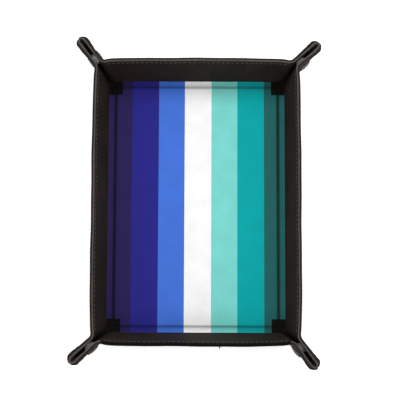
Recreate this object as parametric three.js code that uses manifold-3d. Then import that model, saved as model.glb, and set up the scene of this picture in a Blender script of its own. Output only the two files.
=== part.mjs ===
import * as THREE from 'three';
import { mergeVertices } from 'three/addons/utils/BufferGeometryUtils.js';
import Module from 'manifold-3d';

// Folding dice tray, in mm, +Z up. It is one flat leather sheet with a stiff floor and four stiff
// walls. Each corner of the sheet is pinched into a two-layer ear, and a snap holds the ear shut.

const wasm = await Module();
wasm.setup();

const FLOOR_X = 82;
const FLOOR_Y = 117;
const WALL_HEIGHT = 35.5;
const WALL_LEAN_DEG = 13;
const SHEET_CORNER_RADIUS = 5;

const SKIN = 0.8;
const BOARD = 1.0;
const LINING = 0.8;
const LAYER_GAP = 0.3;
const BASE_BOARD = 1.4;
const BASE_LINING = 0.6;
const PLAY_SURFACE = 0.6;

const BOARD_HALF_X = 74.4;
const BOARD_HALF_Y = 111;
const FOLD_AXIS_Z = 1.6;
const BASE_CLEARANCE = 2.4;
const WALL_FOOT = 2.2;
const PRINT_NOTCH = 13.3;

const EAR_SKIN = 1.3;
const EAR_LINING = 1.1;
const EAR_CREASE_OFFSET = 4.45;
const CREASE_CLEARANCE = 1.6;
const DIAGONAL_CLEARANCE = 0.9;
const FOLD_STRIP_GAP = 1.15;
const FOLD_STRIP_FOOT = 5;
const EAR_FOOT = 2.0;

const RIM_TO_STITCH = 3.6;
const THREAD_WIDTH = 0.6;
const THREAD_HEIGHT = 0.35;

const SNAP_HEIGHT = 28;
const SNAP_FROM_CORNER = 8;
const SNAP_HOLE_RADIUS = 2.0;
const STEM_RADIUS = 1.5;
const CAP_RADIUS = 6.2;
const CAP_RISE = 1.8;
const SOCKET_RADIUS = 5.3;
const SOCKET_BORE = 3.3;
const STUD_RADIUS = 2.8;
const STUD_BASE_RADIUS = 5.0;
const POST_RADIUS = 4.8;
const SEGMENTS = 28;

const rad = THREE.MathUtils.degToRad;
const foldAngle = rad(90 - WALL_LEAN_DEG);
const creaseAngle = Math.atan(Math.sin(rad(WALL_LEAN_DEG)));
const earFold = Math.acos(Math.cos(rad(WALL_LEAN_DEG)) / Math.SQRT2);

// Each side's own frame when flat: x runs outwards from the fold, y along the fold, z up.
const sides = {
  right: { turn: 0, fold: FLOOR_X, end: FLOOR_Y },
  back: { turn: 90, fold: FLOOR_Y, end: FLOOR_X },
  left: { turn: 180, fold: FLOOR_X, end: FLOOR_Y },
  front: { turn: 270, fold: FLOOR_Y, end: FLOOR_X },
};

// yaw is the ear's heading, in degrees from the X axis. The capped half holds the cap and socket.
const corners = {
  back_right: { yaw: 42.5, long: ['right', 1], short: ['back', -1], capped: 'long' },
  back_left: { yaw: 53.5, long: ['left', -1], short: ['back', 1], capped: 'short' },
  front_left: { yaw: 42.5, long: ['left', 1], short: ['front', -1], capped: 'short' },
  front_right: { yaw: 53.5, long: ['right', -1], short: ['front', 1], capped: 'short' },
};

const group = new THREE.Group();
group.name = 'folding_dice_tray';

const finishes = {
  leather: { color: 0x2b2523, roughness: 0.55, metalness: 0 },
  lining: { color: 0x1f1b1a, roughness: 0.6, metalness: 0 },
  print: { color: 0x3f66a8, roughness: 0.95, metalness: 0 },
  board: { color: 0x8a7a63, roughness: 0.9, metalness: 0 },
  thread: { color: 0x35302d, roughness: 0.8, metalness: 0 },
  metal: { color: 0xb9bcc2, roughness: 0.28, metalness: 1 },
};

function addPart(name, geometry, finish, matrix = new THREE.Matrix4()) {
  const placed = geometry.clone();
  placed.applyMatrix4(matrix);
  const mesh = new THREE.Mesh(placed, new THREE.MeshStandardMaterial(finishes[finish]));
  mesh.name = name;
  group.add(mesh);
}

function plate(points, low, high, holes = []) {
  const shape = new THREE.Shape(points.map(([x, y]) => new THREE.Vector2(x, y)));
  for (const [x, y, radius] of holes) {
    const hole = new THREE.Path();
    hole.absarc(x, y, radius, 0, 2 * Math.PI, true);
    shape.holes.push(hole);
  }
  const settings = { depth: high - low, bevelEnabled: false, curveSegments: SEGMENTS / 2 };
  return new THREE.ExtrudeGeometry(shape, settings).translate(0, 0, low);
}

function solid(geometry) {
  const bare = geometry.index ? geometry.clone() : geometry;
  bare.deleteAttribute('normal');
  bare.deleteAttribute('uv');
  const merged = mergeVertices(bare, 1e-4);
  const vertProperties = new Float32Array(merged.attributes.position.array);
  const triVerts = new Uint32Array(merged.index.array);
  return new wasm.Manifold(new wasm.Mesh({ numProp: 3, vertProperties, triVerts }));
}

function joined(first, second) {
  const mesh = solid(first).add(solid(second)).getMesh();
  const geometry = new THREE.BufferGeometry();
  geometry.setAttribute('position', new THREE.BufferAttribute(mesh.vertProperties, 3));
  geometry.setIndex(new THREE.BufferAttribute(mesh.triVerts, 1));
  return geometry;
}

// A turned part about the line x, y parallel to the sheet's normal.
function turned(profile, x, y) {
  const points = profile.map(([radius, height]) => new THREE.Vector2(radius, height));
  const geometry = new THREE.LatheGeometry(points, SEGMENTS);
  return geometry.rotateX(Math.PI / 2).translate(x, y, 0);
}

function wallMatrix(side) {
  const { turn, fold } = sides[side];
  return new THREE.Matrix4()
    .makeRotationZ(rad(turn))
    .multiply(new THREE.Matrix4().makeTranslation(fold, 0, FOLD_AXIS_Z))
    .multiply(new THREE.Matrix4().makeRotationY(-foldAngle))
    .multiply(new THREE.Matrix4().makeTranslation(0, 0, -FOLD_AXIS_Z));
}

// Distance along the fold from the wall's middle to its crease, at a height on the wall.
function creaseAt(side, height) {
  const start = sides[side].end - EAR_CREASE_OFFSET / Math.cos(creaseAngle);
  return start + height * Math.tan(creaseAngle);
}

function earMatrix(side, end, fold) {
  const pivot = new THREE.Vector3(0, end * creaseAt(side, 0), FOLD_AXIS_Z);
  const axis = new THREE.Vector3(Math.cos(creaseAngle), end * Math.sin(creaseAngle), 0);
  return wallMatrix(side)
    .multiply(new THREE.Matrix4().makeTranslation(pivot.x, pivot.y, pivot.z))
    .multiply(new THREE.Matrix4().makeRotationAxis(axis, -end * fold))
    .multiply(new THREE.Matrix4().makeTranslation(-pivot.x, -pivot.y, -pivot.z));
}

function rectangle(halfX, halfY) {
  return [[-halfX, -halfY], [halfX, -halfY], [halfX, halfY], [-halfX, halfY]];
}

function notchedRectangle(halfX, halfY, innerX, innerY) {
  return [
    [-innerX, -halfY], [innerX, -halfY], [innerX, -innerY], [halfX, -innerY],
    [halfX, innerY], [innerX, innerY], [innerX, halfY], [-innerX, halfY],
    [-innerX, innerY], [-halfX, innerY], [-halfX, -innerY], [-innerX, -innerY],
  ];
}

function addBase() {
  const halfX = FLOOR_X - BASE_CLEARANCE;
  const halfY = FLOOR_Y - BASE_CLEARANCE;
  const boardTop = SKIN + BASE_BOARD;
  const liningTop = boardTop + BASE_LINING;
  const board = rectangle(BOARD_HALF_X, BOARD_HALF_Y);
  const print = notchedRectangle(halfX, halfY, FLOOR_X - PRINT_NOTCH, FLOOR_Y - PRINT_NOTCH);
  addPart('outer_skin_base', plate(rectangle(halfX, halfY), 0, SKIN), 'leather');
  addPart('base_board', plate(board, SKIN, boardTop), 'board');
  addPart('base_lining', plate(rectangle(halfX, halfY), boardTop, liningTop), 'lining');
  addPart('play_surface', plate(print, liningTop, liningTop + PLAY_SURFACE), 'print');
}

// A wall layer between two heights, each end cut back from its slanted crease by a margin.
function wallOutline(side, low, high, margin) {
  const cut = margin / Math.cos(creaseAngle);
  const lowEnd = creaseAt(side, low) - cut;
  const highEnd = creaseAt(side, high) - cut;
  return [[low, -lowEnd], [high, -highEnd], [high, highEnd], [low, lowEnd]];
}

function addWall(side) {
  const matrix = wallMatrix(side);
  const skin = wallOutline(side, WALL_FOOT, WALL_HEIGHT, CREASE_CLEARANCE);
  const board = wallOutline(side, WALL_FOOT + 1, WALL_HEIGHT - 5, CREASE_CLEARANCE + 2.5);
  const stitchTop = WALL_HEIGHT - RIM_TO_STITCH;
  const thread = wallOutline(side, stitchTop - THREAD_WIDTH, stitchTop, CREASE_CLEARANCE + 2);
  const boardLow = SKIN + LAYER_GAP;
  const liningLow = boardLow + BOARD + LAYER_GAP;
  const threadLow = liningLow + LINING + LAYER_GAP;
  addPart(`wall_skin_${side}`, plate(skin, 0, SKIN), 'leather', matrix);
  addPart(`wall_board_${side}`, plate(board, boardLow, boardLow + BOARD), 'board', matrix);
  addPart(`wall_lining_${side}`, plate(skin, liningLow, liningLow + LINING), 'lining', matrix);
  addPart(`rim_thread_${side}`, plate(thread, threadLow, threadLow + THREAD_HEIGHT), 'thread', matrix);
}

// An outline drawn at the wall's far end, or its mirror image at the near end.
function atEnd(points, end) {
  return end > 0 ? points : points.map(([x, y]) => [x, -y]).reverse();
}

// One half of an ear when flat: from its crease to the sheet's diagonal, with a rounded corner.
function earOutline(side, end, margin, diagonalGap) {
  const reach = sides[side].end;
  const cut = margin / Math.cos(creaseAngle);
  const slant = diagonalGap * Math.SQRT2;
  const centreX = WALL_HEIGHT - SHEET_CORNER_RADIUS;
  const centreY = reach + WALL_HEIGHT - SHEET_CORNER_RADIUS;
  const points = [
    [EAR_FOOT, creaseAt(side, EAR_FOOT) + cut],
    [WALL_HEIGHT, creaseAt(side, WALL_HEIGHT) + cut],
  ];
  const half = Math.PI / 4 - Math.asin(diagonalGap / SHEET_CORNER_RADIUS);
  for (let step = 0; step <= 5; step += 1) {
    const angle = (half * step) / 5;
    const x = centreX + SHEET_CORNER_RADIUS * Math.cos(angle);
    const y = centreY + SHEET_CORNER_RADIUS * Math.sin(angle);
    points.push([x, y]);
  }
  points.push([EAR_FOOT, reach + EAR_FOOT - slant]);
  return atEnd(points, end);
}

// The strip along the diagonal that turns in towards the other half and closes the ear's fold.
function foldStrip(side, end, low, high) {
  const reach = sides[side].end;
  const near = DIAGONAL_CLEARANCE * Math.SQRT2;
  const far = (DIAGONAL_CLEARANCE + EAR_SKIN) * Math.SQRT2;
  const tip = WALL_HEIGHT - 0.32 * SHEET_CORNER_RADIUS;
  const points = [
    [FOLD_STRIP_FOOT, reach + FOLD_STRIP_FOOT - far],
    [tip, reach + tip - far],
    [tip, reach + tip - near],
    [FOLD_STRIP_FOOT, reach + FOLD_STRIP_FOOT - near],
  ];
  return plate(atEnd(points, end), low, high);
}

// Where the snap's axis crosses the middle of the ear.
function snapCentre(side, end, matrix) {
  const upright = new THREE.Vector3(Math.cos(creaseAngle), end * Math.sin(creaseAngle), 0);
  const corner = new THREE.Vector3(0, end * sides[side].end, FOLD_AXIS_Z).applyMatrix4(wallMatrix(side));
  const edge = upright.transformDirection(wallMatrix(side));
  const normal = new THREE.Vector3(0, 0, 1).transformDirection(matrix);
  const outward = new THREE.Vector3().crossVectors(edge, normal);
  if (outward.dot(corner) < 0) {
    outward.negate();
  }
  const along = (SNAP_HEIGHT - FOLD_AXIS_Z) / edge.z;
  return corner.addScaledVector(edge, along).addScaledVector(outward, SNAP_FROM_CORNER);
}

function capProfile() {
  return [
    [0, -0.3 - CAP_RISE],
    [3.0, -0.2 - CAP_RISE],
    [4.9, 0.3 - CAP_RISE],
    [5.9, 1.0 - CAP_RISE],
    [CAP_RADIUS, -0.4],
    [5.9, -0.2],
    [STEM_RADIUS, -0.2],
    [STEM_RADIUS, 2.9],
    [0, 2.9],
  ];
}

function socketProfile(middle) {
  return [
    [0, 3.0],
    [SOCKET_RADIUS - 0.4, 3.0],
    [SOCKET_RADIUS, 3.4],
    [SOCKET_RADIUS, middle + 0.2],
    [SOCKET_RADIUS - 0.6, middle + 0.7],
    [SOCKET_BORE + 0.5, middle + 0.7],
    [SOCKET_BORE, middle + 0.3],
    [SOCKET_BORE, 3.5],
    [0, 3.5],
  ];
}

function studProfile(middle) {
  return [
    [0, 3.0],
    [STUD_BASE_RADIUS - 0.3, 3.0],
    [STUD_BASE_RADIUS, 3.2],
    [STUD_BASE_RADIUS - 0.3, 3.5],
    [STUD_RADIUS - 0.3, 3.6],
    [STUD_RADIUS - 0.4, middle - 0.3],
    [STUD_RADIUS, middle + 0.1],
    [STUD_RADIUS - 0.4, middle + 0.5],
    [0, middle + 0.6],
  ];
}

function postProfile() {
  return [
    [0, -0.8],
    [POST_RADIUS - 0.6, -0.8],
    [POST_RADIUS, -0.5],
    [POST_RADIUS, -0.2],
    [STEM_RADIUS, -0.2],
    [STEM_RADIUS, 2.9],
    [0, 2.9],
  ];
}

function addEarHalf(corner, half) {
  const { yaw, capped } = corners[corner];
  const [side, end] = corners[corner][half];
  const lean = half === 'long' ? rad(45 - yaw) : -rad(45 - yaw);
  const fold = earFold + lean;
  const matrix = earMatrix(side, end, fold);
  const centre = snapCentre(side, end, matrix).applyMatrix4(matrix.clone().invert());
  const middle = FOLD_AXIS_Z + EAR_CREASE_OFFSET * Math.sin(fold);
  const hole = [[centre.x, centre.y, SNAP_HOLE_RADIUS]];
  const outline = earOutline(side, end, CREASE_CLEARANCE, DIAGONAL_CLEARANCE);
  const inset = earOutline(side, end, CREASE_CLEARANCE, DIAGONAL_CLEARANCE + EAR_SKIN + LAYER_GAP);
  const liningLow = EAR_SKIN + LAYER_GAP;
  const strip = foldStrip(side, end, 0, middle - FOLD_STRIP_GAP);
  const skin = joined(plate(outline, 0, EAR_SKIN, hole), strip);
  const lining = plate(inset, liningLow, liningLow + EAR_LINING, hole);
  const name = `${corner}_${half}`;
  addPart(`ear_skin_${name}`, skin, 'leather', matrix);
  addPart(`ear_lining_${name}`, lining, 'lining', matrix);
  if (capped === half) {
    addPart(`snap_cap_${corner}`, turned(capProfile(), centre.x, centre.y), 'metal', matrix);
    addPart(`snap_socket_${corner}`, turned(socketProfile(middle), centre.x, centre.y), 'metal', matrix);
  } else {
    addPart(`snap_post_${corner}`, turned(postProfile(), centre.x, centre.y), 'metal', matrix);
    addPart(`snap_stud_${corner}`, turned(studProfile(middle), centre.x, centre.y), 'metal', matrix);
  }
}

addBase();
for (const side of Object.keys(sides)) {
  addWall(side);
}
for (const corner of Object.keys(corners)) {
  addEarHalf(corner, 'long');
  addEarHalf(corner, 'short');
}

export default group;
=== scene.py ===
import math

import bpy
import numpy as np
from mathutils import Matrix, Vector


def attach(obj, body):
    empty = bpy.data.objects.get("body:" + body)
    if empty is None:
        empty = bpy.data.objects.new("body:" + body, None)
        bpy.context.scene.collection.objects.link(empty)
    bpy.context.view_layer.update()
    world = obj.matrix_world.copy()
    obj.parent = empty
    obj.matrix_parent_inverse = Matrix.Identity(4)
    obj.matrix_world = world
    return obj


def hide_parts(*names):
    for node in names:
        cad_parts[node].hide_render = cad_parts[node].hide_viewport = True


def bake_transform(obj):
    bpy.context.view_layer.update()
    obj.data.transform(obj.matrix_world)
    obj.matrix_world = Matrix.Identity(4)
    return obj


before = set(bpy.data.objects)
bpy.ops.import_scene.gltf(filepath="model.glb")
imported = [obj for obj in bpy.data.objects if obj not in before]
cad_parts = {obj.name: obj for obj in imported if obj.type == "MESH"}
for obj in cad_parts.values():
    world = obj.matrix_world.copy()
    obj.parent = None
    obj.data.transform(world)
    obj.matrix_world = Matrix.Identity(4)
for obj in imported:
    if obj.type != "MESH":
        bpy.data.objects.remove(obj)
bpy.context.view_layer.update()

# ---------------------------------------------------------------- sizes, in mm
# The sheet: half the floor between folds, wall height along the slope, lean from upright.
FLOOR_X, FLOOR_Y = 82.0, 117.0
WALL_H = 35.5
LEAN = math.radians(13)
CORNER_R = 4.0
# Fold axis height, half length of the bending strip, and thickness of a folded panel.
AXIS_Z = 1.6
BEND = 2.4
THICK = 3.2
# Floor: the pressed line at the board's edge, the tops of print and lining, the print's notch.
GROOVE_X, GROOVE_Y = 75.0, 111.0
PRINT_TOP = 3.4
LINING_TOP = 2.8
NOTCH = 13.3
FLOOR_GROOVE, FLOOR_STEP, FLOOR_CROWN = 0.75, 0.3, 0.12
STRIPE_W, STRIPE_SHIFT = 24.3, 0.9
# Ears: how far the creases stand off the corner, and how the leather thickens and works loose.
EAR_OFFSET = 4.45
EAR_SCALE = 1.02
EAR_FLARE = 1.3
FLARE_FROM, FLARE_RUN = 30, 17
LOOSE_FROM, LOOSE_RUN = 31, 6
CREASE_T = 2.9
# Outward bow of the long and short walls, and the board inside each.
BOW_LONG, BOW_SHORT = 1.4, 2.1
BOARD_LOW, BOARD_HIGH = 1.1, 2.1
BOARD_IN = 5.2
# Rim: the seam's distance from the edge, its pressed groove, and the rounded, turned-in hem.
STITCH_IN = 3.7
STITCH_PITCH = 4.2
THREAD_SIDES = 6
THREAD_END_X = 20.5
SEAM_GROOVE, SEAM_WIDTH, RIM_PUFF = 0.26, 0.42, 0.16
HEM_END, HEM_FADE = 4.2, 1.4
RIM_ROUND = 0.78
# Snaps: height above the table and distance out from the corner.
SNAP_Z, SNAP_IN = 28.0, 8.0
# Gathered leather under each ear: its centre and half sizes.
FOOT_X, FOOT_Y, FOOT_Z = 81.2, 116.2, 2.5
FOOT_LONG, FOOT_WIDE, FOOT_HIGH = 4.7, 4.3, 2.4
# Lower and upper heights of the three layers that bend from the floor into a wall.
OUTER_STRIP, LINING_STRIP, PRINT_STRIP = (0, 1.0), (1.2, 2.75), (2.7, 3.15)

FOLD = math.pi / 2 - LEAN
GAMMA = math.atan(math.sin(LEAN))
EAR_FOLD = math.acos(math.cos(LEAN) / math.sqrt(2))
# A side: its turn about the vertical, its fold's distance from the centre, half its length.
SIDES = {"right": (0, FLOOR_X, FLOOR_Y), "back": (90, FLOOR_Y, FLOOR_X),
         "left": (180, FLOOR_X, FLOOR_Y), "front": (270, FLOOR_Y, FLOOR_X)}
# A corner: the ear's heading, the sides and ends of its long and short halves, which has the cap.
CORNERS = {"back_right": (42.5, ("right", 1), ("back", -1), "long"),
           "back_left": (53.5, ("left", -1), ("back", 1), "short"),
           "front_left": (42.5, ("left", 1), ("front", -1), "short"),
           "front_right": (53.5, ("right", -1), ("front", 1), "short")}

# Table, camera and light, in metres, degrees and watts.
TABLE_Z = -0.00015
TABLE_PROFILE = [(4, 0), (5, 0.05), (6, 0.2), (6.8, 0.5), (7.3, 1.0), (7.6, 1.8), (7.8, 2.8)]
TABLE_STEPS = 96
CAMERA_LENS = 76.0
CAMERA_PITCH = 85.0
CAMERA_ROLL = 0.23
CAMERA_PLACE = (0.00376, -0.1219, 0.7701)
CAMERA_SHIFT = 0.163
KEY_POWER, FILL_POWER, WORLD_STRENGTH, TABLE_GLOW = 7.5, 1.5, 0.72, 0.5


# ---------------------------------------------------------------- sheet to world
def rotation(axis, angle):
    """Turn by an angle about an axis through the origin."""
    k = np.array(axis, float)
    k /= np.linalg.norm(k)
    c, s = math.cos(angle), math.sin(angle)
    cross = np.array([[0, -k[2], k[1]], [k[2], 0, -k[0]], [-k[1], k[0], 0]])
    return np.eye(3) * c + s * cross + (1 - c) * np.outer(k, k)


def wall_to_world(side, p):
    """From a wall's own frame (up the wall, along it, inwards) to the standing wall."""
    turn, fold_at, _ = SIDES[side]
    p = np.asarray(p, float) - [0, 0, AXIS_Z]
    p = p @ rotation((0, 1, 0), -FOLD).T + [fold_at, 0, AXIS_Z]
    return p @ rotation((0, 0, 1), math.radians(turn)).T


def side_to_world(side, p):
    """From a side's flat frame (outwards, along, up) with no fold."""
    turn, fold_at, _ = SIDES[side]
    p = np.asarray(p, float) + [fold_at, 0, 0]
    return p @ rotation((0, 0, 1), math.radians(turn)).T


def crease_start(side):
    """Where a wall's crease meets the fold, along the wall."""
    return SIDES[side][2] - EAR_OFFSET / math.cos(GAMMA)


def crease_at(side, v):
    """Where a wall's crease is at a height v up the wall."""
    return crease_start(side) + v * math.tan(GAMMA)


def ear_half(corner, half):
    """The side, end and fold angle of an ear half, and whether it has the snap's cap."""
    yaw, long_half, short_half, capped = CORNERS[corner]
    side, end = long_half if half == "long" else short_half
    lean = math.radians(45 - yaw) * (1 if half == "long" else -1)
    return side, end, EAR_FOLD + lean, capped == half


def ear_to_world(side, end, fold, p):
    """From an ear half's flat frame, the wall's continued past the crease, to the closed ear."""
    pivot = np.array([0, end * crease_start(side), AXIS_Z])
    axis = (math.cos(GAMMA), end * math.sin(GAMMA), 0)
    return wall_to_world(side, (np.asarray(p, float) - pivot) @ rotation(axis, -end * fold).T + pivot)


def bend_crease(side, end, fold, v, u, w):
    """Sheet points across the crease between a wall and its ear, bent round the crease."""
    start = crease_start(side)
    cg, sg = math.cos(GAMMA), math.sin(GAMMA)
    along = v * cg + (u - start) * sg
    across = -v * sg + (u - start) * cg
    radius = CREASE_T / math.tan(fold / 2)
    t = np.clip((across + CREASE_T) / (2 * CREASE_T), 0, 1)
    r = radius + (w - AXIS_Z)
    x = -CREASE_T + r * np.sin(t * fold)
    up = AXIS_Z - radius + r * np.cos(t * fold)
    p = np.stack([along * cg - x * sg, end * (start + along * sg + x * cg), up], -1)
    return wall_to_world(side, p)


# ---------------------------------------------------------------- mesh building
def make(name, verts, faces, material, body=None, smooth=40):
    """A mesh object from points in mm, riding a body if one is named."""
    mesh = bpy.data.meshes.new(name)
    mesh.from_pydata([tuple(x * 0.001 for x in v) for v in verts], [], faces)
    mesh.validate()
    mesh.polygons.foreach_set("use_smooth", [True] * len(mesh.polygons))
    mesh.set_sharp_from_angle(angle=math.radians(smooth))
    obj = bpy.data.objects.new(name, mesh)
    bpy.context.scene.collection.objects.link(obj)
    mesh.materials.append(material)
    if body:
        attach(obj, body)
    return obj


def paint_rim_lighting(obj, material, rows=3):
    """Give the rounded top edge of a leather layer a second material: a painted highlight on most rims, a
    painted shade on the front rim.
    """
    obj.data.materials.append(material)
    for face in obj.data.polygons:
        if max(i % len(RIM_STEPS) for i in face.vertices) <= rows:
            face.material_index = 1


def slab(lower, upper, flip):
    """A closed slab from two grids of world points, rows by columns."""
    n, m = lower.shape[:2]
    verts = np.concatenate([lower.reshape(-1, 3), upper.reshape(-1, 3)])
    off = n * m
    faces = []
    for i in range(n - 1):
        for j in range(m - 1):
            a, b, c, d = i * m + j, (i + 1) * m + j, (i + 1) * m + j + 1, i * m + j + 1
            faces.append((a, d, c, b))
            faces.append((off + a, off + b, off + c, off + d))
    ring = list(range(m)) + [i * m + m - 1 for i in range(1, n)]
    ring += [(n - 1) * m + j for j in range(m - 2, -1, -1)] + [i * m for i in range(n - 2, 0, -1)]
    for a, b in zip(ring, ring[1:] + ring[:1]):
        faces.append((a, off + a, off + b, b))
    if flip:
        faces = [tuple(reversed(f)) for f in faces]
    return verts, faces


def joined(parts):
    """Several meshes as one."""
    verts, faces, base = [], [], 0
    for v, f in parts:
        verts.append(v)
        faces += [tuple(i + base for i in face) for face in f]
        base += len(v)
    return np.concatenate(verts), faces


# Depths below the rim of the leather's grid lines, close together over the rounded edge and seam.
RIM_STEPS = np.array([0, .05, .16, .34, .58, .9, 1.4, 2.1, 2.8, 3.2, 3.45, 3.7, 3.95, 4.2, 4.7, 5.6,
                      7, 10, 14, 19, 24, 29, WALL_H - BEND])


def smooth(x):
    x = np.clip(x, 0, 1)
    return x * x * (3 - 2 * x)


def layer_heights(depth, layer):
    """Lower and upper height of one leather layer, at a depth below the rim."""
    thin = np.clip((depth - HEM_END) / HEM_FADE, 0, 1)
    groove = SEAM_GROOVE * np.exp(-((depth - STITCH_IN) / SEAM_WIDTH) ** 2)
    puff = RIM_PUFF * np.sin(np.pi * np.clip(depth / STITCH_IN, 0, 1))
    if layer == "skin":
        low, high = 0 * depth + groove - puff * 0.6, 1.56 - 0.5 * thin
    else:
        low, high = 1.66 + 0.5 * thin, THICK - groove + puff
    half = (high - low) / 2
    near = np.clip(depth / RIM_ROUND, 0, 1)
    tuck = half * (1 - np.sqrt(1 - (1 - near) ** 2)) * 0.97
    return low + tuck, high - tuck


def bow_at(side, u, v):
    """How far a wall bulges outwards, most at the middle of its rim."""
    t = np.clip(u / (crease_at(side, v) - CREASE_T / math.cos(GAMMA)), -1, 1)
    wave = 0.18 * np.sin(u * 0.061 + SIDES[side][0]) + 0.1 * np.sin(u * 0.147 + 1.3)
    bow = BOW_LONG if SIDES[side][2] > 100 else BOW_SHORT
    flat = 1 - 0.45 * t ** 4 - 0.55 * t ** 20
    return (bow + wave) * flat * np.clip(v / WALL_H, 0, 1) ** 1.25


def wall_layer(side, layer, stations):
    """One leather layer of a wall, between its two creases."""
    v = WALL_H - RIM_STEPS
    low, high = layer_heights(RIM_STEPS, layer)
    t = np.linspace(-1, 1, stations)[:, None]
    end_u = crease_at(side, v) - CREASE_T / math.cos(GAMMA)
    u = t * end_u[None, :]
    vv = np.broadcast_to(v, u.shape)
    bow = bow_at(side, u, vv)
    lower = wall_to_world(side, np.stack([vv, u, low - bow], -1))
    upper = wall_to_world(side, np.stack([vv, u, high - bow], -1))
    return slab(lower, upper, True)


def crease_layer(side, end, fold, layer):
    """One leather layer bent round the crease between a wall and an ear half."""
    v = WALL_H - RIM_STEPS
    low, high = layer_heights(RIM_STEPS, layer)
    across = np.linspace(-CREASE_T, CREASE_T, 9)[:, None]
    u = crease_at(side, v)[None, :] + across / math.cos(GAMMA)
    vv = np.broadcast_to(v, u.shape)
    scale = 1 - (1 - EAR_SCALE) * np.clip((across + CREASE_T) / (2 * CREASE_T), 0, 1)
    lower = bend_crease(side, end, fold, vv, u, low * scale)
    upper = bend_crease(side, end, fold, vv, u, high * scale)
    return slab(lower, upper, end > 0)


def ear_grid(side):
    """Sheet points of an ear half, from its crease to the diagonal, by depth below the rim."""
    reach = SIDES[side][2]
    foot = BEND
    t_edge = CREASE_T / math.cos(GAMMA)
    s1 = np.array([WALL_H, crease_at(side, WALL_H) + t_edge])
    s0 = np.array([foot, crease_at(side, foot) + t_edge])
    e0 = np.array([foot, reach + foot])
    centre = np.array([WALL_H - CORNER_R, reach + WALL_H - CORNER_R])
    flat = centre[1] - s1[1]
    arc = CORNER_R * math.pi / 4
    steps = np.concatenate([np.linspace(0, 0.55, 8), np.linspace(0.6, 1, 26)])
    top, bottom = [], []
    for a in steps:
        run = a * (flat + arc)
        if run <= flat:
            top.append([WALL_H, s1[1] + run])
        else:
            angle = (run - flat) / CORNER_R
            top.append([centre[0] + CORNER_R * math.cos(angle), centre[1] + CORNER_R * math.sin(angle)])
        bottom.append(s0 + (e0 - s0) * a)
    top, bottom = np.array(top), np.array(bottom)
    f = (RIM_STEPS / RIM_STEPS[-1])[None, :, None]
    grid = top[:, None, :] * (1 - f) + bottom[:, None, :] * f
    return grid[..., 0], grid[..., 1]


def ear_surface(side, end, fold, v, u, w):
    """Sheet points of an ear half, curled round the ear's fold next to the sheet's diagonal."""
    middle = AXIS_Z + EAR_OFFSET * math.sin(fold)
    gap = (SIDES[side][2] + v - u) / math.sqrt(2)
    along = (v + u - SIDES[side][2]) / math.sqrt(2)
    flare = EAR_FLARE * smooth((along - FLARE_FROM) / FLARE_RUN)
    loose = smooth((along - LOOSE_FROM) / LOOSE_RUN) * smooth(gap / 3)
    long_wave = 0.2 * np.sin(0.62 * along + 0.35 * gap + end * 1.7)
    crinkle = long_wave + 0.12 * np.sin(1.15 * along - 0.5 * gap + len(side))
    w = np.broadcast_to(w * EAR_SCALE, v.shape) - flare * (1 - w / THICK) + loose * crinkle
    turn = (1 - np.clip(gap / middle, 0, 1)) * math.pi / 2
    inside = gap < middle
    shift = np.where(inside, middle - (middle - np.maximum(w, 0.2)) * np.sin(turn) - gap, 0)
    height = np.where(inside, middle - (middle - w) * np.cos(turn), w)
    p = np.stack([v + shift / math.sqrt(2), end * (u - shift / math.sqrt(2)), height], -1)
    return ear_to_world(side, end, fold, p)


def ear_layer(side, end, fold, layer):
    """One leather layer of an ear half."""
    v, u = ear_grid(side)
    low, high = layer_heights(RIM_STEPS, layer)
    lower = ear_surface(side, end, fold, v, u, low)
    upper = ear_surface(side, end, fold, v, u, high)
    return slab(lower, upper, end > 0)


def wall_board(side, stations):
    """The stiff board between a wall's two leather layers."""
    v = np.linspace(BEND + 0.9, WALL_H - BOARD_IN, 8)
    t = np.linspace(-1, 1, stations)[:, None]
    end_u = crease_at(side, v) - CREASE_T / math.cos(GAMMA) - 1.2
    u = t * end_u[None, :]
    vv = np.broadcast_to(v, u.shape)
    bow = bow_at(side, u, vv)
    lower = wall_to_world(side, np.stack([vv, u, BOARD_LOW - bow], -1))
    upper = wall_to_world(side, np.stack([vv, u, BOARD_HIGH - bow], -1))
    return slab(lower, upper, True)


def stitch(first, last, normal):
    """One stitch: a short thread that rises from its two holes."""
    rise = np.array([-0.28, 0.02, 0.16, 0.2, 0.16, 0.02, -0.28])
    size = np.array([0.2, 0.3, 0.33, 0.34, 0.33, 0.3, 0.2])
    run = last - first
    across = np.cross(run, normal)
    across /= np.linalg.norm(across)
    verts, faces = [], []
    for k in range(len(rise)):
        centre = first + run * (k / (len(rise) - 1)) + normal * rise[k]
        for i in range(THREAD_SIDES):
            a = 2 * i * math.pi / THREAD_SIDES
            verts.append(centre + size[k] * (across * math.cos(a) + normal * math.sin(a)))
    for k in range(len(rise) - 1):
        near, far = k * THREAD_SIDES, (k + 1) * THREAD_SIDES
        for i in range(THREAD_SIDES):
            j = (i + 1) % THREAD_SIDES
            faces.append((near + i, near + j, far + j, far + i))
    faces.append(tuple(range(THREAD_SIDES - 1, -1, -1)))
    faces.append(tuple(range(len(verts) - THREAD_SIDES, len(verts))))
    return np.array(verts), faces


def stitch_row(points, normals):
    """Stitches along a polyline of world points, with a small gap between two stitches."""
    lengths = np.linalg.norm(np.diff(points, axis=0), axis=1)
    place = np.concatenate([[0], np.cumsum(lengths)])
    count = max(1, int(place[-1] / STITCH_PITCH))
    pitch = place[-1] / count
    parts = []

    def at(values, x):
        return np.array([np.interp(x, place, values[:, k]) for k in range(3)])

    for k in range(count):
        start = (k + 0.11) * pitch
        stop = (k + 0.89) * pitch
        normal = at(normals, (start + stop) / 2)
        parts.append(stitch(at(points, start), at(points, stop), normal / np.linalg.norm(normal)))
    return parts


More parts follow.
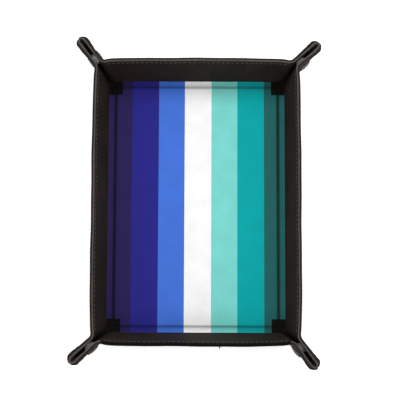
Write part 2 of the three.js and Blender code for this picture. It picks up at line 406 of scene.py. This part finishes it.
def wall_stitches(side, face):
    """The seam under a wall's rim, on its inner or outer face."""
    stations = 120
    v = np.full(stations, WALL_H - STITCH_IN)
    reach = crease_at(side, v[0]) - CREASE_T / math.cos(GAMMA) - 0.6
    u = np.linspace(-reach, reach, stations)
    low, high = layer_heights(np.array([STITCH_IN]), "skin" if face == "outer" else "lining")
    w = (low[0] if face == "outer" else high[0]) - bow_at(side, u, v)
    points = wall_to_world(side, np.stack([v, u, w], -1))
    inside = wall_to_world(side, np.stack([v, u, w + (-1 if face == "outer" else 1)], -1))
    return stitch_row(points, inside - points)


# Beads of the thread end: radius, then shifts up the wall, along it and outwards.
THREAD_KNOT = [(0.8, 0, 0, -0.3), (0.65, 0.8, 0.5, -0.85), (0.55, 1.6, 0.3, -1.35), (0.5, 2.4, 0.5, -1.8)]


def thread_end(side):
    """The seam's last stitch, cut off on the outer face: a knot with a short tail of smaller beads."""
    v, u = WALL_H - STITCH_IN, THREAD_END_X
    bow = float(bow_at(side, np.array(u), np.array(v)))
    rows, segments = 8, 12
    parts = []
    for radius, dv, du, dw in THREAD_KNOT:
        ball = []
        for i in range(rows + 1):
            polar = math.pi * i / rows
            ring = max(math.sin(polar), 0.02)
            for j in range(segments):
                a = 2 * math.pi * j / segments
                ball.append([v + dv + radius * ring * math.cos(a), u + du + radius * ring * math.sin(a),
                             -bow + dw + radius * math.cos(polar)])
        faces = []
        for i in range(rows):
            near, far = i * segments, (i + 1) * segments
            for j in range(segments):
                k = (j + 1) % segments
                faces.append((near + j, near + k, far + k, far + j))
        faces.append(tuple(range(segments - 1, -1, -1)))
        faces.append(tuple(range(rows * segments, (rows + 1) * segments)))
        parts.append((wall_to_world(side, ball), faces))
    return joined(parts)


def ear_stitches(side, end, fold, face):
    """The seam along an ear half's edge, clear of the ear's own fold."""
    v, u = ear_grid(side)
    row = int(np.argmin(np.abs(RIM_STEPS - STITCH_IN)))
    v, u = v[:, row], u[:, row]
    keep = (SIDES[side][2] + v - u) / math.sqrt(2) > (1.8 if face == "outer" else 5.2)
    v, u = v[keep], u[keep]
    low, high = layer_heights(np.array([STITCH_IN]), "skin" if face == "outer" else "lining")
    w = low[0] if face == "outer" else high[0]
    points = ear_surface(side, end, fold, v, u, np.array(w))
    beyond = ear_surface(side, end, fold, v, u, np.array(w + (-0.5 if face == "outer" else 0.5)))
    return stitch_row(points, beyond - points)


def lathe(profile, centre, side, end, fold, segments=56):
    """A turned metal part on the line through centre, square to an ear half.

    The profile is a list of (radius, height).
    """
    a = np.linspace(0, 2 * math.pi, segments, endpoint=False)
    rings = []
    for radius, height in profile:
        x, y = centre[0] + radius * np.cos(a), centre[1] + radius * np.sin(a)
        rings.append(np.stack([x, y, 0 * a + height], -1))
    verts = ear_to_world(side, end, fold, np.concatenate(rings))
    faces = []
    count = len(profile)
    for k in range(count - 1):
        below, above = k * segments, (k + 1) * segments
        for i in range(segments):
            j = (i + 1) % segments
            faces.append((below + i, below + j, above + j, above + i))
    faces.append(tuple(range(segments - 1, -1, -1)))
    faces.append(tuple((count - 1) * segments + i for i in range(segments)))
    return verts, faces


def snap_centre(side, end, fold):
    """The snap axis in an ear half's own frame."""
    upright = np.array([math.cos(GAMMA), end * math.sin(GAMMA), 0])
    corner = wall_to_world(side, [[0, end * SIDES[side][2], AXIS_Z]])[0]
    edge = wall_to_world(side, [upright + [0, end * SIDES[side][2], AXIS_Z]])[0] - corner
    zero, one = ear_to_world(side, end, fold, [[0, 0, 0], [0, 0, 1]])
    outward = np.cross(edge, one - zero)
    outward *= np.sign(outward @ corner)
    point = corner + edge * (SNAP_Z - AXIS_Z) / edge[2] + outward * SNAP_IN
    basis = ear_to_world(side, end, fold, [[1, 0, 0], [0, 1, 0], [0, 0, 1]]) - zero
    return basis @ (point - zero)


# Half sections of the snap's parts, as (radius, height above the sheet's outer face).
CAP = [(0.01, 2.6), (1.5, 2.6), (1.5, -0.1), (5.5, -0.1), (6.0, -0.15), (6.2, -0.45), (6.15, -0.8),
       (5.95, -1.05), (5.6, -1.22), (5.2, -1.3), (4.6, -1.5), (3.6, -1.75), (2.4, -1.93),
       (1.2, -2.03), (0.01, -2.06)]
POST = [(0.01, 2.6), (1.4, 2.6), (1.4, -0.1), (4.4, -0.1), (4.75, -0.2), (4.8, -0.4), (4.7, -0.62),
        (4.4, -0.75), (3.3, -0.72), (2.6, -0.6), (2.2, -0.35), (1.9, 0.1), (1.7, 0.6), (0.01, 0.7)]


def socket_profile(middle):
    top = middle + 0.75
    return [(0.01, 2.75), (4.9, 2.75), (5.2, 2.85), (5.3, 3.15), (5.28, 3.7), (5.0, 3.95), (4.9, 4.1),
            (4.9, top - 0.5), (4.6, top - 0.12), (4.1, top), (3.8, top), (3.5, top - 0.15),
            (3.35, top - 0.5), (3.3, 3.5), (0.01, 3.5)]


def stud_profile(middle):
    top = middle + 0.55
    return [(0.01, 2.75), (4.7, 2.75), (4.95, 2.85), (5.0, 3.05), (4.9, 3.25), (4.5, 3.38), (3.4, 3.4),
            (2.7, 3.5), (2.45, 3.8), (2.45, middle - 0.4), (2.7, middle - 0.1), (2.8, middle + 0.1),
            (2.65, top - 0.1), (2.3, top), (1.5, top), (1.2, top - 0.2), (1.0, 3.8), (0.01, 3.7)]


def corner_foot(corner):
    """The leather gathered where the floor, two walls and an ear meet."""
    sx = 1 if "right" in corner else -1
    sy = 1 if "back" in corner else -1
    rings, segments = 14, 28
    verts, faces = [], []
    heading = math.atan2(sy, sx)
    for i in range(rings + 1):
        polar = math.pi * i / rings
        for j in range(segments if 0 < i < rings else 1):
            a = 2 * math.pi * j / segments
            pleat = 1 + 0.05 * math.cos(6 * a)
            along = FOOT_LONG * math.sin(polar) * math.cos(a) * pleat
            across = FOOT_WIDE * math.sin(polar) * math.sin(a) * pleat
            up = FOOT_HIGH * math.cos(polar)
            z = FOOT_Z + up + 0.28 * max(along, 0)
            x = sx * FOOT_X + along * math.cos(heading) - across * math.sin(heading)
            y = sy * FOOT_Y + along * math.sin(heading) + across * math.cos(heading)
            verts.append((x, y, max(z, 0.1)))

    def index(i, j):
        if i == 0:
            return 0
        return 1 + (i - 1) * segments + (j % segments if i < rings else 0)

    for i in range(rings):
        for j in range(segments):
            quad = index(i, j), index(i + 1, j), index(i + 1, j + 1), index(i, j + 1)
            faces.append(tuple(dict.fromkeys(quad)))
    return np.array(verts), faces


def fold_arc(side, heights, reach_low, reach_high, last=1.0):
    """The strip that bends from the floor up into a wall, between two heights of the sheet."""
    radius = BEND / math.tan(FOLD / 2)
    a = np.linspace(0, last, 10)[None, :] * FOLD
    t = np.linspace(-1, 1, 60)[:, None]
    u = t * (reach_low + (reach_high - reach_low) * a / FOLD)
    grids = []
    for w in heights:
        r = radius - (w - AXIS_Z)
        x = -BEND + r * np.sin(a) + 0 * t
        z = AXIS_Z + radius - r * np.cos(a) + 0 * t
        grids.append(side_to_world(side, np.stack([x, u, z], -1)))
    return slab(grids[0], grids[1], False)


# ---------------------------------------------------------------- materials
def linear(r, g, b):
    out = []
    for c in (r, g, b):
        c /= 255
        out.append(c / 12.92 if c <= 0.04045 else ((c + 0.055) / 1.055) ** 2.4)
    return (*out, 1)


def new_material(name):
    material = bpy.data.materials.new(name)
    material.use_nodes = True
    nodes = material.node_tree.nodes
    return material, nodes, material.node_tree.links, nodes["Principled BSDF"]


def add(nodes, kind, **inputs):
    node = nodes.new(kind)
    for key, value in inputs.items():
        node.inputs[key.replace("_", " ")].default_value = value
    return node


def math_node(nodes, operation, *values):
    node = nodes.new("ShaderNodeMath")
    node.operation = operation
    for i, value in enumerate(values):
        if value is not None:
            node.inputs[i].default_value = value
    return node


def leather(name, dark, light, rough, shine):
    """Pebbled leather: fine cells with darker valleys, and broad soft changes of tone and gloss."""
    material, nodes, links, shader = new_material(name)
    place = nodes.new("ShaderNodeTexCoord")
    cells = add(nodes, "ShaderNodeTexVoronoi", Scale=1150.0)
    cells.feature = "DISTANCE_TO_EDGE"
    warp = add(nodes, "ShaderNodeTexNoise", Scale=420.0, Detail=3.0)
    fine = add(nodes, "ShaderNodeTexNoise", Scale=2600.0, Detail=2.0)
    broad = add(nodes, "ShaderNodeTexNoise", Scale=28.0, Detail=8.0, Roughness=0.78)
    mixed = nodes.new("ShaderNodeVectorMath")
    mixed.operation = "MULTIPLY_ADD"
    mixed.inputs[1].default_value = (0.0011, 0.0011, 0.0011)
    links.new(place.outputs["Object"], warp.inputs["Vector"])
    links.new(warp.outputs["Color"], mixed.inputs[0])
    links.new(place.outputs["Object"], mixed.inputs[2])
    links.new(mixed.outputs[0], cells.inputs["Vector"])
    links.new(place.outputs["Object"], fine.inputs["Vector"])
    links.new(place.outputs["Object"], broad.inputs["Vector"])
    pebble = add(nodes, "ShaderNodeMapRange", From_Max=0.42)
    links.new(cells.outputs["Distance"], pebble.inputs["Value"])
    height = math_node(nodes, "MULTIPLY_ADD", None, 0.35)
    links.new(fine.outputs["Fac"], height.inputs[0])
    links.new(pebble.outputs["Result"], height.inputs[2])
    bump = add(nodes, "ShaderNodeBump", Strength=0.7, Distance=0.0003)
    links.new(height.outputs[0], bump.inputs["Height"])
    links.new(bump.outputs["Normal"], shader.inputs["Normal"])
    tone = math_node(nodes, "MULTIPLY_ADD", None, 0.45)
    links.new(pebble.outputs["Result"], tone.inputs[0])
    scaled = add(nodes, "ShaderNodeMapRange", From_Min=0.35, From_Max=0.7, To_Max=0.55)
    links.new(broad.outputs["Fac"], scaled.inputs["Value"])
    links.new(scaled.outputs["Result"], tone.inputs[2])
    ramp = nodes.new("ShaderNodeValToRGB")
    ramp.color_ramp.elements[0].color = dark
    ramp.color_ramp.elements[1].color = light
    links.new(tone.outputs[0], ramp.inputs["Fac"])
    links.new(ramp.outputs["Color"], shader.inputs["Base Color"])
    gloss = add(nodes, "ShaderNodeMapRange", From_Min=0.3, From_Max=0.7,
                To_Min=rough - 0.07, To_Max=rough + 0.08)
    links.new(broad.outputs["Fac"], gloss.inputs["Value"])
    links.new(gloss.outputs["Result"], shader.inputs["Roughness"])
    shader.inputs["Specular IOR Level"].default_value = shine
    return material


def printed_fabric():
    """Seven stripes across the tray, with a woven nap, painted shade in the pressed groove round the
    board, and painted shade towards the back and front ends under the walls.
    """
    material, nodes, links, shader = new_material("printed_microfibre")
    place = nodes.new("ShaderNodeTexCoord")
    split = nodes.new("ShaderNodeSeparateXYZ")
    links.new(place.outputs["Object"], split.inputs[0])
    span = 3.5 * STRIPE_W
    fade = add(nodes, "ShaderNodeMapRange", From_Min=(STRIPE_SHIFT - span) / 1000,
               From_Max=(STRIPE_SHIFT + span) / 1000)
    links.new(split.outputs["X"], fade.inputs["Value"])
    colours = [(43, 32, 88), (40, 38, 136), (70, 117, 219), (255, 255, 255), (125, 218, 210),
               (0, 169, 172), (36, 100, 100)]
    ramp = nodes.new("ShaderNodeValToRGB")
    ramp.color_ramp.interpolation = "CONSTANT"
    for i, colour in enumerate(colours):
        element = ramp.color_ramp.elements[i] if i < 2 else ramp.color_ramp.elements.new(i / 7)
        element.position = i / 7
        element.color = linear(*colour)
    links.new(fade.outputs["Result"], ramp.inputs["Fac"])
    fibre = add(nodes, "ShaderNodeTexNoise", Scale=900.0, Detail=4.0, Roughness=0.75)
    nap = add(nodes, "ShaderNodeTexNoise", Scale=60.0, Detail=3.0)
    for node in (fibre, nap):
        links.new(place.outputs["Object"], node.inputs["Vector"])
    both = math_node(nodes, "MULTIPLY_ADD", None, 0.5)
    links.new(nap.outputs["Fac"], both.inputs[0])
    links.new(fibre.outputs["Fac"], both.inputs[2])
    shade = add(nodes, "ShaderNodeMapRange", From_Min=0.45, From_Max=1.05, To_Min=0.8, To_Max=1.06)
    links.new(both.outputs[0], shade.inputs["Value"])
    distance = []
    for axis, line in (("X", GROOVE_X), ("Y", GROOVE_Y)):
        size = math_node(nodes, "ABSOLUTE")
        links.new(split.outputs[axis], size.inputs[0])
        beyond = math_node(nodes, "SUBTRACT", None, line / 1000)
        links.new(size.outputs[0], beyond.inputs[0])
        distance.append(beyond)
    from_groove = math_node(nodes, "MAXIMUM")
    for i in (0, 1):
        links.new(distance[i].outputs[0], from_groove.inputs[i])
    width = math_node(nodes, "ABSOLUTE")
    links.new(from_groove.outputs[0], width.inputs[0])
    # Painted shade in the pressed groove: down to 0.2 along the sides and 0.58 across the ends, back to
    # full colour 2.5 mm away.
    painted_groove_shade = add(nodes, "ShaderNodeMapRange", From_Min=0.0004, From_Max=0.0025, To_Max=1.0)
    painted_groove_shade.interpolation_type = "SMOOTHSTEP"
    across_end = math_node(nodes, "GREATER_THAN")
    links.new(distance[1].outputs[0], across_end.inputs[0])
    links.new(distance[0].outputs[0], across_end.inputs[1])
    depth = math_node(nodes, "MULTIPLY_ADD", None, 0.38, 0.2)
    links.new(across_end.outputs[0], depth.inputs[0])
    links.new(depth.outputs[0], painted_groove_shade.inputs["To Min"])
    # Painted shade of the back and front walls: the print darkens by a tenth towards the ends.
    ends = add(nodes, "ShaderNodeMapRange", From_Min=-0.022, From_Max=0.002, To_Min=1.0, To_Max=0.9)
    ends.interpolation_type = "SMOOTHSTEP"
    links.new(distance[1].outputs[0], ends.inputs["Value"])
    nap_and_end_shade = math_node(nodes, "MULTIPLY")
    links.new(ends.outputs["Result"], nap_and_end_shade.inputs[0])
    links.new(shade.outputs["Result"], nap_and_end_shade.inputs[1])
    links.new(width.outputs[0], painted_groove_shade.inputs["Value"])
    nap_and_painted_shade = math_node(nodes, "MULTIPLY")
    links.new(painted_groove_shade.outputs["Result"], nap_and_painted_shade.inputs[0])
    links.new(nap_and_end_shade.outputs[0], nap_and_painted_shade.inputs[1])
    mix = nodes.new("ShaderNodeVectorMath")
    mix.operation = "SCALE"
    links.new(ramp.outputs["Color"], mix.inputs[0])
    links.new(nap_and_painted_shade.outputs[0], mix.inputs["Scale"])
    links.new(mix.outputs[0], shader.inputs["Base Color"])
    bump = add(nodes, "ShaderNodeBump", Strength=0.5, Distance=0.0001)
    links.new(fibre.outputs["Fac"], bump.inputs["Height"])
    links.new(bump.outputs["Normal"], shader.inputs["Normal"])
    shader.inputs["Roughness"].default_value = 0.95
    shader.inputs["Specular IOR Level"].default_value = 0.15
    shader.inputs["Sheen Weight"].default_value = 0.12
    shader.inputs["Sheen Roughness"].default_value = 0.5
    return material


def thread_material():
    material, nodes, links, shader = new_material("waxed_thread")
    place = nodes.new("ShaderNodeTexCoord")
    ply = add(nodes, "ShaderNodeTexWave", Scale=900.0, Distortion=1.5, Detail=1.0)
    ply.bands_direction = "DIAGONAL"
    links.new(place.outputs["Object"], ply.inputs["Vector"])
    ramp = nodes.new("ShaderNodeValToRGB")
    ramp.color_ramp.elements[0].color = linear(56, 49, 44)
    ramp.color_ramp.elements[1].color = linear(102, 93, 86)
    links.new(ply.outputs["Fac"], ramp.inputs["Fac"])
    links.new(ramp.outputs["Color"], shader.inputs["Base Color"])
    bump = add(nodes, "ShaderNodeBump", Strength=0.5, Distance=0.00008)
    links.new(ply.outputs["Fac"], bump.inputs["Height"])
    links.new(bump.outputs["Normal"], shader.inputs["Normal"])
    shader.inputs["Roughness"].default_value = 0.6
    return material


def board_material():
    material, nodes, links, shader = new_material("grey_board")
    place = nodes.new("ShaderNodeTexCoord")
    pulp = add(nodes, "ShaderNodeTexNoise", Scale=700.0, Detail=4.0)
    links.new(place.outputs["Object"], pulp.inputs["Vector"])
    ramp = nodes.new("ShaderNodeValToRGB")
    ramp.color_ramp.elements[0].color = linear(120, 108, 92)
    ramp.color_ramp.elements[1].color = linear(165, 152, 132)
    links.new(pulp.outputs["Fac"], ramp.inputs["Fac"])
    links.new(ramp.outputs["Color"], shader.inputs["Base Color"])
    shader.inputs["Roughness"].default_value = 0.9
    return material


def metal_material(name, dark, light, rough, metallic=1.0):
    material, nodes, links, shader = new_material(name)
    place = nodes.new("ShaderNodeTexCoord")
    tarnish = add(nodes, "ShaderNodeTexNoise", Scale=260.0, Detail=4.0)
    links.new(place.outputs["Object"], tarnish.inputs["Vector"])
    ramp = nodes.new("ShaderNodeValToRGB")
    ramp.color_ramp.elements[0].position = 0.3
    ramp.color_ramp.elements[0].color = dark
    ramp.color_ramp.elements[1].position = 0.65
    ramp.color_ramp.elements[1].color = light
    links.new(tarnish.outputs["Fac"], ramp.inputs["Fac"])
    links.new(ramp.outputs["Color"], shader.inputs["Base Color"])
    gloss = add(nodes, "ShaderNodeMapRange", To_Min=rough - 0.06, To_Max=rough + 0.08)
    links.new(tarnish.outputs["Fac"], gloss.inputs["Value"])
    links.new(gloss.outputs["Result"], shader.inputs["Roughness"])
    shader.inputs["Metallic"].default_value = metallic
    return material


OUTER = leather("outer_leather", linear(24, 19, 16), linear(50, 41, 36), 0.58, 0.18)
LINING = leather("lining_leather", linear(25, 20, 17), linear(58, 48, 42), 0.72, 0.1)
# A much darker copy of the lining leather: painted shade. It is used for the floor lining in the print's
# notched corners, the fold strips' lining, the front rim and the corner feet's tops.
SHADED_LINING = leather("lining_leather_painted_shade", linear(10, 8, 7), linear(22, 18, 16), 0.7, 0.08)
# A darker copy of the lining leather for the ears: painted shade in the narrow gap between an ear's two
# layers.
EAR_LINING_SHADED = leather("lining_leather_ear", linear(18, 14, 12), linear(38, 31, 27), 0.72, 0.1)
# Lighter leather for the rims: a painted highlight where the light catches the rounded edges.
RIM_HIGHLIGHT = leather("rim_painted_highlight", linear(52, 46, 42), linear(98, 91, 86), 0.5, 0.3)
PRINT = printed_fabric()
THREAD = thread_material()
BOARD = board_material()
# Socket and stud between an ear's layers: near-white nickel, only 0.6 metallic, so that part of it shows
# as diffuse white, a painted glint.
NICKEL_WITH_PAINTED_GLINT = metal_material("nickel", linear(214, 214, 213), linear(246, 246, 245), 0.24, 0.6)
POST_NICKEL = metal_material("post_nickel", linear(120, 120, 119), linear(178, 177, 174), 0.3)
GUNMETAL = metal_material("gunmetal", linear(38, 37, 34), linear(76, 73, 67), 0.46, 0.75)


# ---------------------------------------------------------------- floor of the tray
def floor_height(x, y, top):
    """The floor's surface: flat over the board, pressed at its edge, lower over the bending strip."""
    from_edge = np.maximum(np.abs(x) - GROOVE_X, np.abs(y) - GROOVE_Y)
    groove = FLOOR_GROOVE * np.exp(-(from_edge / 0.75) ** 2)
    strip = FLOOR_STEP * (1 / (1 + np.exp(-np.clip((from_edge - 0.6) * 3, -30, 30))))
    crown = FLOOR_CROWN * np.sin(np.pi * np.clip((from_edge - 0.8) / 3.2, 0, 1))
    return top - groove - strip + crown


def grid_lines(half, edge, notch):
    """Grid lines from one side to the other, close together near the board's edge."""
    fine = [edge + x for x in (-3, -1.8, -1.2, -0.8, -0.4, 0, 0.4, 0.8, 1.2, 1.8, 2.6, 3.4)]
    coarse = list(np.linspace(0, edge - 6, 14))
    line = sorted(set([round(x, 4) for x in fine + coarse + [notch]] + [half]))
    return np.array([-x for x in reversed(line) if x > 0] + line)


def floor_sheet(name, low, top, material, notched):
    """A sheet over the floor board, with or without a square notch at each corner."""
    half_x, half_y = FLOOR_X - BEND, FLOOR_Y - BEND
    xs = grid_lines(half_x, GROOVE_X, FLOOR_X - NOTCH)
    ys = grid_lines(half_y, GROOVE_Y, FLOOR_Y - NOTCH)
    gx, gy = np.meshgrid(xs, ys, indexing="ij")
    gz = floor_height(gx, gy, top)
    n, m = gx.shape
    keep = {}
    verts, faces = [], []

    def point(i, j, level):
        key = (i, j, level)
        if key not in keep:
            keep[key] = len(verts)
            z = gz[i, j] if level else max(low, gz[i, j] - (top - low))
            verts.append((gx[i, j], gy[i, j], z))
        return keep[key]

    def cell(i, j):
        if not (0 <= i < n - 1 and 0 <= j < m - 1):
            return False
        cx, cy = (xs[i] + xs[i + 1]) / 2, (ys[j] + ys[j + 1]) / 2
        return not (notched and abs(cx) > FLOOR_X - NOTCH and abs(cy) > FLOOR_Y - NOTCH)

    for i in range(n - 1):
        for j in range(m - 1):
            if not cell(i, j):
                continue
            quad = [(i, j), (i + 1, j), (i + 1, j + 1), (i, j + 1)]
            faces.append([point(a, b, 1) for a, b in quad])
            faces.append([point(a, b, 0) for a, b in reversed(quad)])
            for k, (di, dj) in enumerate(((0, -1), (1, 0), (0, 1), (-1, 0))):
                if not cell(i + di, j + dj):
                    a, b = quad[k], quad[(k + 1) % 4]
                    faces.append([point(*a, 1), point(*a, 0), point(*b, 0), point(*b, 1)])
    return make(name, verts, faces, material, "base", 50)


play = floor_sheet("play_surface_print", LINING_TOP, PRINT_TOP, PRINT, True)
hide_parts("play_surface")
# The floor lining takes the darker lining copy: painted shade in the corners.
lining = floor_sheet("floor_lining", 2.25, LINING_TOP, SHADED_LINING, False)
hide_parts("base_lining")


# ---------------------------------------------------------------- folds, walls, creases and ears
def fold_ends(side):
    """Half lengths of a bending strip where it leaves the floor and where it joins the wall."""
    reach = SIDES[side][2]
    return reach - BEND, crease_at(side, BEND)


def blend_fold(obj, side):
    """Bake the placement of a strip, already built bent between the floor and a wall, into its mesh; the
    fold's start and end points are worked out but not used.
    """
    start = side_to_world(side, [[-BEND, 0, AXIS_Z]])[0] / 1000
    end = wall_to_world(side, [[BEND, 0, AXIS_Z]])[0] / 1000
    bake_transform(obj)


for side in SIDES:
    low_reach, high_reach = fold_ends(side)
    stations = 90 if SIDES[side][2] > 100 else 64
    skin = make(f"wall_outer_{side}", *wall_layer(side, "skin", stations), OUTER, "wall_" + side)
    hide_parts(f"wall_skin_{side}")
    inner = make(f"wall_inner_{side}", *wall_layer(side, "lining", stations), LINING, "wall_" + side)
    # The front rim's two edges take the darker lining copy: painted shade on the rim that faces away from
    # the light.
    if side == "front":
        paint_rim_lighting(skin, SHADED_LINING, 5)
    # Left and right rims get a painted highlight 3 rows deep; the back rim, facing the light, gets a
    # wider one 5 rows deep.
    paint_rim_lighting(inner, SHADED_LINING if side == "front" else RIM_HIGHLIGHT, 3 if side in ("left", "right") else 5)
    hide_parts(f"wall_lining_{side}")
    board = make(f"wall_board_bowed_{side}", *wall_board(side, 40), BOARD, "wall_" + side)
    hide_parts(f"wall_board_{side}")
    thread = joined(wall_stitches(side, "inner") + wall_stitches(side, "outer"))
    seam = make(f"rim_stitches_{side}", *thread, THREAD, "wall_" + side, 60)
    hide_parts(f"rim_thread_{side}")
    if side == "front":
        seam_end = make("thread_end_front", *thread_end(side), THREAD, "wall_" + side, 60)
    outer_arc = fold_arc(side, OUTER_STRIP, low_reach + 1.2, high_reach + 1)
    outer_strip = make(f"fold_outer_{side}", *outer_arc, OUTER)
    blend_fold(outer_strip, side)
    # The fold strip's lining takes the darker lining copy: painted shade where the floor meets the wall.
    inner_arc = fold_arc(side, LINING_STRIP, low_reach, high_reach)
    inner_strip = make(f"fold_lining_{side}", *inner_arc, SHADED_LINING)
    blend_fold(inner_strip, side)
    edge = SIDES[side][2] - NOTCH
    print_arc = fold_arc(side, PRINT_STRIP, edge, edge, 0.93)
    print_strip = make(f"print_edge_{side}", *print_arc, PRINT)
    blend_fold(print_strip, side)


def crease_points(side, end, fold):
    """The two points, on the wall and on the ear half, between which a crease strip bends."""
    cg, sg = math.cos(GAMMA), math.sin(GAMMA)
    middle = WALL_H / 2
    u = crease_at(side, middle)
    first = np.array([[middle + CREASE_T * sg, end * (u - CREASE_T * cg), AXIS_Z]])
    second = np.array([[middle - CREASE_T * sg, end * (u + CREASE_T * cg), AXIS_Z]])
    return wall_to_world(side, first)[0] / 1000, ear_to_world(side, end, fold, second)[0] / 1000


for corner in CORNERS:
    for half in ("long", "short"):
        side, end, fold, capped = ear_half(corner, half)
        body = f"ear_{corner}_{half}"
        skin = make(f"ear_outer_{corner}_{half}", *ear_layer(side, end, fold, "skin"), OUTER, body)
        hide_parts(f"ear_skin_{corner}_{half}")
        inner_half = ear_layer(side, end, fold, "lining")
        # The ear's lining takes the darker copy: painted shade in the gap between the layers.
        inner = make(f"ear_inner_{corner}_{half}", *inner_half, EAR_LINING_SHADED, body)
        # The ear lining's edge: painted highlight.
        paint_rim_lighting(inner, RIM_HIGHLIGHT)
        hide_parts(f"ear_lining_{corner}_{half}")
        thread = joined(ear_stitches(side, end, fold, "outer") + ear_stitches(side, end, fold, "inner"))
        seam = make(f"ear_stitches_{corner}_{half}", *thread, THREAD, body, 60)
        centre = snap_centre(side, end, fold)
        middle = AXIS_Z + EAR_OFFSET * math.sin(fold)
        fittings = (("cap", CAP), ("socket", socket_profile(middle))) if capped else (
            ("post", POST), ("stud", stud_profile(middle)))
        for kind, profile in fittings:
            # Socket and stud take the nickel with the painted glint.
            finish = {"cap": GUNMETAL, "post": POST_NICKEL}.get(kind, NICKEL_WITH_PAINTED_GLINT)
            turned = lathe(profile, centre, side, end, fold)
            metal = make(f"snap_{kind}_turned_{corner}", *turned, finish, body, 50)
            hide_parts(f"snap_{kind}_{corner}")
        start, stop = crease_points(side, end, fold)
        layers = ("skin", OUTER, "outer_leather"), ("lining", LINING, "lining_leather")
        for layer, material, slot in layers:
            bent = crease_layer(side, end, fold, layer)
            strip = make(f"crease_{layer}_{corner}_{half}", *bent, material)
            # The crease lining's edge: painted highlight.
            if layer == "lining":
                paint_rim_lighting(strip, RIM_HIGHLIGHT)
            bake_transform(strip)

    foot = make(f"corner_foot_{corner}", *corner_foot(corner), OUTER, "base", 60)
    # The foot's upper faces take the darker lining copy: painted shade deep in the corner.
    foot.data.materials.append(SHADED_LINING)
    for face in foot.data.polygons:
        if face.center.z > FOOT_Z / 1000:
            face.material_index = 1

for name, material in (("base_board", BOARD), ("outer_skin_base", OUTER)):
    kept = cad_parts[name].data.materials
    kept.clear()
    kept.append(material)


# ---------------------------------------------------------------- stage, light and camera
def stage():
    """A round table top that sweeps up far behind the tray on every side."""
    mesh = bpy.data.meshes.new("table")
    verts = [(0, 0, TABLE_Z)]
    for radius, height in TABLE_PROFILE:
        for i in range(TABLE_STEPS):
            a = 2 * math.pi * i / TABLE_STEPS
            verts.append((radius * math.cos(a), radius * math.sin(a), TABLE_Z + height))
    faces = [(0, 1 + i, 1 + (i + 1) % TABLE_STEPS) for i in range(TABLE_STEPS)]
    for k in range(len(TABLE_PROFILE) - 1):
        near, far = 1 + k * TABLE_STEPS, 1 + (k + 1) * TABLE_STEPS
        for i in range(TABLE_STEPS):
            j = (i + 1) % TABLE_STEPS
            faces.append((near + i, far + i, far + j, near + j))
    mesh.from_pydata(verts, [], faces)
    mesh.polygons.foreach_set("use_smooth", [True] * len(faces))
    obj = bpy.data.objects.new("table", mesh)
    bpy.context.scene.collection.objects.link(obj)
    material, _, _, shader = new_material("table_white")
    shader.inputs["Base Color"].default_value = (0.95, 0.95, 0.95, 1)
    shader.inputs["Roughness"].default_value = 0.9
    shader.inputs["Emission Color"].default_value = (1, 1, 1, 1)
    shader.inputs["Emission Strength"].default_value = TABLE_GLOW
    mesh.materials.append(material)


def area_light(name, place, aim, size, power):
    data = bpy.data.lights.new(name, "AREA")
    data.shape = "RECTANGLE"
    data.size, data.size_y = size
    data.energy = power
    obj = bpy.data.objects.new(name, data)
    bpy.context.scene.collection.objects.link(obj)
    obj.location = place
    obj.rotation_euler = (Vector(aim) - Vector(place)).to_track_quat("-Z", "Y").to_euler()


def camera():
    data = bpy.data.cameras.new("camera")
    data.sensor_width = 36
    data.lens = CAMERA_LENS
    data.shift_y = CAMERA_SHIFT
    obj = bpy.data.objects.new("camera", data)
    bpy.context.scene.collection.objects.link(obj)
    obj.location = CAMERA_PLACE
    obj.rotation_euler = (math.radians(90 - CAMERA_PITCH), 0, math.radians(CAMERA_ROLL))
    bpy.context.scene.camera = obj


stage()
area_light("key", (0.1, 0.75, 1.1), (0, 0, 0), (0.9, 0.6), KEY_POWER)
area_light("fill", (-0.5, -0.6, 1.2), (0, 0, 0), (1.2, 1.2), FILL_POWER)
world = bpy.data.worlds.new("world")
world.use_nodes = True
world.node_tree.nodes["Background"].inputs["Color"].default_value = (1, 1, 1, 1)
world.node_tree.nodes["Background"].inputs["Strength"].default_value = WORLD_STRENGTH
bpy.context.scene.world = world
bpy.context.scene.view_settings.view_transform = "Standard"
camera()
